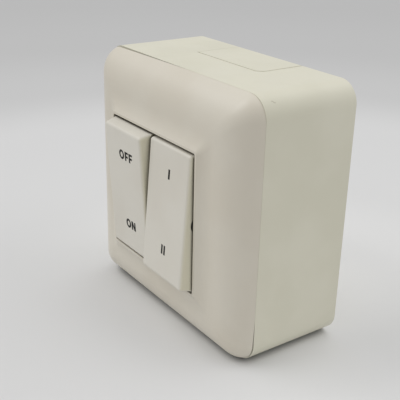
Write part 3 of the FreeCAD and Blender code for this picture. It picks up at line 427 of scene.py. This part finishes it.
def printing_ink():
    """Matt black ink with a fine speckle where the film is thin."""
    material, tree, shader, place = new_material("pad_printed_black_ink")
    speckle = add_node(tree, "ShaderNodeTexNoise", {
        "Vector": place, "Scale": per_mm(INK_SPECKLE_MM), "Detail": 2.0})
    film = add_node(tree, "ShaderNodeMapRange", {
        "Value": speckle.outputs["Fac"], "To Min": INK_SHADES[0], "To Max": INK_SHADES[1]})
    shade = add_node(tree, "ShaderNodeHueSaturation", {
        "Value": film.outputs["Result"], "Color": linear(INK_BLACK)})
    gloss = add_node(tree, "ShaderNodeMapRange", {
        "Value": speckle.outputs["Fac"], "To Min": INK_ROUGHNESS[0], "To Max": INK_ROUGHNESS[1]})
    tree.links.new(shade.outputs["Color"], shader.inputs["Base Color"])
    tree.links.new(gloss.outputs["Result"], shader.inputs["Roughness"])
    shader.inputs["Specular IOR Level"].default_value = INK_SHEEN
    return material


def bar(left, width):
    """A plain upright stroke."""
    low, high, right = -CAP_MM / 2, CAP_MM / 2, left + width
    return [[(left, low), (right, low), (right, high), (left, high)]]


def letter_f(left, width):
    """An F whose arms are thinner than its stem, the lower one a little shorter."""
    low, high, right = -CAP_MM / 2, CAP_MM / 2, left + width
    stem, arm = left + STROKE_MM, STROKE_MM * F_ARM_SHARE
    middle, short = high - CAP_MM * F_WAIST_SHARE, right - width * F_SHORT_SHARE
    return [[
        (left, low), (stem, low), (stem, middle - arm), (short, middle - arm), (short, middle),
        (stem, middle), (stem, high - arm), (right, high - arm), (right, high), (left, high),
    ]]


def letter_n(left, width):
    """An N: two stems and a slanting stroke between their opposite ends."""
    low, high, right = -CAP_MM / 2, CAP_MM / 2, left + width
    stem, inner, slant = left + STROKE_MM, right - STROKE_MM, STROKE_MM * N_SLANT_SHARE
    notch = slant * N_NOTCH_SHARE
    return [[
        (left, low), (stem, low), (stem, high - notch), (right - slant, low), (right, low),
        (right, high), (inner, high), (inner, low + notch), (left + slant, high), (left, high),
    ]]


def letter_o(left, width):
    """Outer and inner outline of a round O, a little taller than the flat letters."""
    middle, tall = left + width / 2, CAP_MM * (1 + O_EXTRA_SHARE)
    turns = [2 * math.pi * i / O_POINTS for i in range(O_POINTS)]
    loops = []
    for inset in (0.0, STROKE_MM):
        reach_u, reach_w = width / 2 - inset, tall / 2 - O_CROWN_SHARE * inset
        loops.append([(middle + reach_u * math.cos(t), reach_w * math.sin(t)) for t in turns])
    return loops


def around(ring):
    """Each point of a closed ring with the next one."""
    return zip(ring, ring[1:] + ring[:1])


def print_legend(name, side, height, letters, ink):
    """A closed film of ink for each letter: one outline, or an outer and an inner one."""
    hinge = next(joint for joint in frame["joints"] if joint["name"] == f"{side}_rocker_hinge")
    pivot = Vector(hinge["pos_m"])
    level_deg = sum(hinge["range_deg"]) / 2
    lean = Matrix.Rotation(math.radians(-level_deg), 3, "X")
    bm = bmesh.new()
    for loops in letters:
        rings = []
        for film in (-INK_BITE_MM, INK_FILM_MM):
            depth = -FACE_REACH_MM - film
            rings.append([
                [bm.verts.new(pivot + lean @ (Vector((u, depth, w + height)) * MM)) for u, w in loop]
                for loop in loops])
        for low, high in zip(*rings):
            for (low_a, low_b), (high_a, high_b) in zip(around(low), around(high)):
                bm.faces.new((low_a, low_b, high_b, high_a))
        for ring in rings:
            if len(ring) == 1:
                bm.faces.new(ring[0])
                continue
            for (outer_a, outer_b), (inner_a, inner_b) in zip(around(ring[0]), around(ring[1])):
                bm.faces.new((outer_a, outer_b, inner_b, inner_a))
    bmesh.ops.recalc_face_normals(bm, faces=bm.faces)
    mesh = bpy.data.meshes.new(name)
    bm.to_mesh(mesh)
    bm.free()
    mesh.materials.append(ink)
    legend = bpy.data.objects.new(name, mesh)
    bpy.context.scene.collection.objects.link(legend)
    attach(legend, f"{side}_rocker")


# A legend's rocker, its height over the hinge, and its letters by left edge and width, in millimetres.
LEGENDS = (
    ("legend_off", "left", 12.28, [letter_o(-2.4, 2.9), letter_f(1.0, 1.95), letter_f(3.33, 2.05)]),
    ("legend_on", "left", -11.08, [letter_o(-1.58, 2.85), letter_n(1.67, 2.42)]),
    ("legend_one", "right", 12.33, [bar(0.36, BAR_MM)]),
    ("legend_two", "right", -11.2, [bar(-0.56, PAIR_BAR_MM), bar(0.72, PAIR_BAR_MM)]),
)
ink = printing_ink()
for name, side, height, letters in LEGENDS:
    print_legend(name, side, height, letters, ink)

# Table. A large pale board, painted matt, on which the switch stands upright. A painted pool of light makes
# it brightest around the switch, fading slowly with distance, and a painted contact shadow darkens where it
# stands.
# The paint shows a faint fibre, drawn coarser than life.
# Painted pool of light: the board's tone by distance from the switch, and the centre of that pool.
TABLE_LIGHT_POOL_STEPS_MM = (
    (15.0, "EDEDED"),
    (55.0, "DEDEDE"),
    (110.0, "D7D7D7"),
    (200.0, "D5D5D5"),
    (285.0, "C6C6C6"),
    (420.0, "BEBEBE"),
    (650.0, "BABABA"),
)
LIGHT_POOL_MIDDLE_MM = (12.0, 0.0)
TABLE_RADIUS_MM = 6000.0
TABLE_SIDES = 96
TABLE_GAP_MM = 0.3
# Painted contact shadow: how far it reaches, the openness over which it fades, and its darkest tone.
CONTACT_SHADOW_REACH_MM = 4.0
CONTACT_SHADOW_LEVELS = (0.1, 0.45)
CONTACT_SHADOW_TONE = 0.45
FIBRE_MM = 0.8
FIBRE_DEPTH_MM = 0.01
BOARD_ROUGHNESS = 0.9
BOARD_SHEEN = 0.1


def painted_board():
    """Matt paint with a painted pool of light fading from the switch and a painted contact shadow close to
    it.
    """
    material, tree, shader, place = new_material("matt_painted_board")
    middle = (-LIGHT_POOL_MIDDLE_MM[0] * MM, -LIGHT_POOL_MIDDLE_MM[1] * MM, 0.0)
    flat = add_node(tree, "ShaderNodeVectorMath", {
        0: place, 1: (1.0, 1.0, 0.0), 2: middle}, operation="MULTIPLY_ADD").outputs[0]
    reach = add_node(tree, "ShaderNodeVectorMath", {0: flat}, operation="LENGTH").outputs["Value"]
    # Painted pool of light: tone steps by distance from the switch.
    colour = linear(TABLE_LIGHT_POOL_STEPS_MM[0][1])
    for (near, _), (far, next_shade) in zip(TABLE_LIGHT_POOL_STEPS_MM, TABLE_LIGHT_POOL_STEPS_MM[1:]):
        share = add_node(tree, "ShaderNodeMapRange", {
            "Value": reach, "From Min": near * MM, "From Max": far * MM}, interpolation_type="SMOOTHSTEP")
        colour = add_node(tree, "ShaderNodeMix", {
            "Factor": share.outputs["Result"], MIX_FROM: colour, MIX_TO: linear(next_shade),
        }, data_type="RGBA").outputs[MIX_RESULT]
    # Painted contact shadow: the board darkens where nearby parts shut it in.
    openness = add_node(tree, "ShaderNodeAmbientOcclusion", {
        "Distance": CONTACT_SHADOW_REACH_MM * MM}, samples=GAP_RAYS)
    contact_shadow = add_node(tree, "ShaderNodeMapRange", {
        "Value": openness.outputs["AO"], "From Min": CONTACT_SHADOW_LEVELS[0], "From Max": CONTACT_SHADOW_LEVELS[1],
        "To Min": CONTACT_SHADOW_TONE})
    tone = add_node(tree, "ShaderNodeHueSaturation", {"Value": contact_shadow.outputs["Result"], "Color": colour})
    fibre = add_node(tree, "ShaderNodeTexNoise", {
        "Vector": place, "Scale": per_mm(FIBRE_MM), "Detail": 2.0})
    bump = add_node(tree, "ShaderNodeBump", {
        "Height": fibre.outputs["Fac"], "Distance": FIBRE_DEPTH_MM * MM})
    tree.links.new(tone.outputs["Color"], shader.inputs["Base Color"])
    tree.links.new(bump.outputs["Normal"], shader.inputs["Normal"])
    shader.inputs["Roughness"].default_value = BOARD_ROUGHNESS
    shader.inputs["Specular IOR Level"].default_value = BOARD_SHEEN
    return material


bm = bmesh.new()
bmesh.ops.create_circle(bm, cap_ends=True, segments=TABLE_SIDES, radius=TABLE_RADIUS_MM * MM)
bmesh.ops.translate(bm, verts=bm.verts, vec=(0.0, 0.0, cad_low.z - TABLE_GAP_MM * MM))
table_mesh = bpy.data.meshes.new("table")
bm.to_mesh(table_mesh)
bm.free()
table_mesh.materials.append(painted_board())
table = bpy.data.objects.new("table", table_mesh)
bpy.context.scene.collection.objects.link(table)

# Light. An even pale surround, a broad lamp from the front left, one overhead from the back and a weaker
# one from the back right, so that the top is brightest and the faces turned to the viewer are darkest.
SURROUND = "FFFFFF"
SURROUND_LEVEL = 0.574
LAMP_SPREAD_DEG = 45
# A lamp's name, its azimuth and elevation in degrees, and its strength.
LAMPS = (
    ("front_left_lamp", 225, 50, 0.97),
    ("top_back_lamp", 90, 62, 0.46),
    ("back_right_lamp", 45, 38, 0.27),
)
world = bpy.data.worlds.new("pale_surround")
world.use_nodes = True
world.node_tree.nodes.clear()
surround = add_node(world.node_tree, "ShaderNodeBackground", {
    "Color": linear(SURROUND), "Strength": SURROUND_LEVEL})
add_node(world.node_tree, "ShaderNodeOutputWorld", {"Surface": surround.outputs["Background"]})
bpy.context.scene.world = world
for name, azimuth, elevation, strength in LAMPS:
    turn, rise = math.radians(azimuth), math.radians(elevation)
    source = Vector((math.cos(turn) * math.cos(rise), math.sin(turn) * math.cos(rise), math.sin(rise)))
    lamp = bpy.data.lights.new(name, "SUN")
    lamp.energy = strength
    lamp.angle = math.radians(LAMP_SPREAD_DEG)
    lamp_object = bpy.data.objects.new(name, lamp)
    lamp_object.rotation_mode = "QUATERNION"
    lamp_object.rotation_quaternion = source.to_track_quat("Z", "Y")
    bpy.context.scene.collection.objects.link(lamp_object)

# Camera. In front of the switch, to its right and above it, looking a little down.
# Its place and angles put the edges where the picture has them. The focal length is in the picture's pixels.
CAMERA_MM = (184.2, -155.1, 91.8)
YAW_DEG, PITCH_DEG, ROLL_DEG = 54.5, 22.9, 1.39
FOCAL_PX, FRAME_PX = 775.0, 400.0
CLIP_MM = 10.0
yaw, pitch, roll = (math.radians(angle) for angle in (YAW_DEG, PITCH_DEG, ROLL_DEG))
forward = Vector((-math.sin(yaw) * math.cos(pitch), math.cos(yaw) * math.cos(pitch), -math.sin(pitch)))
level_right = Vector((math.cos(yaw), math.sin(yaw), 0.0))
level_up = level_right.cross(forward)
right = level_right * math.cos(roll) + level_up * math.sin(roll)
up = level_up * math.cos(roll) - level_right * math.sin(roll)
turned = Matrix((right, up, -forward)).transposed().to_4x4()
camera_data = bpy.data.cameras.new("camera")
camera_data.lens = camera_data.sensor_width * FOCAL_PX / FRAME_PX
camera_data.clip_start = CLIP_MM * MM
camera = bpy.data.objects.new("camera", camera_data)
camera.matrix_world = Matrix.Translation(Vector(CAMERA_MM) * MM) @ turned
bpy.context.scene.collection.objects.link(camera)
bpy.context.scene.camera = camera
bpy.context.scene.view_settings.view_transform = "Standard"
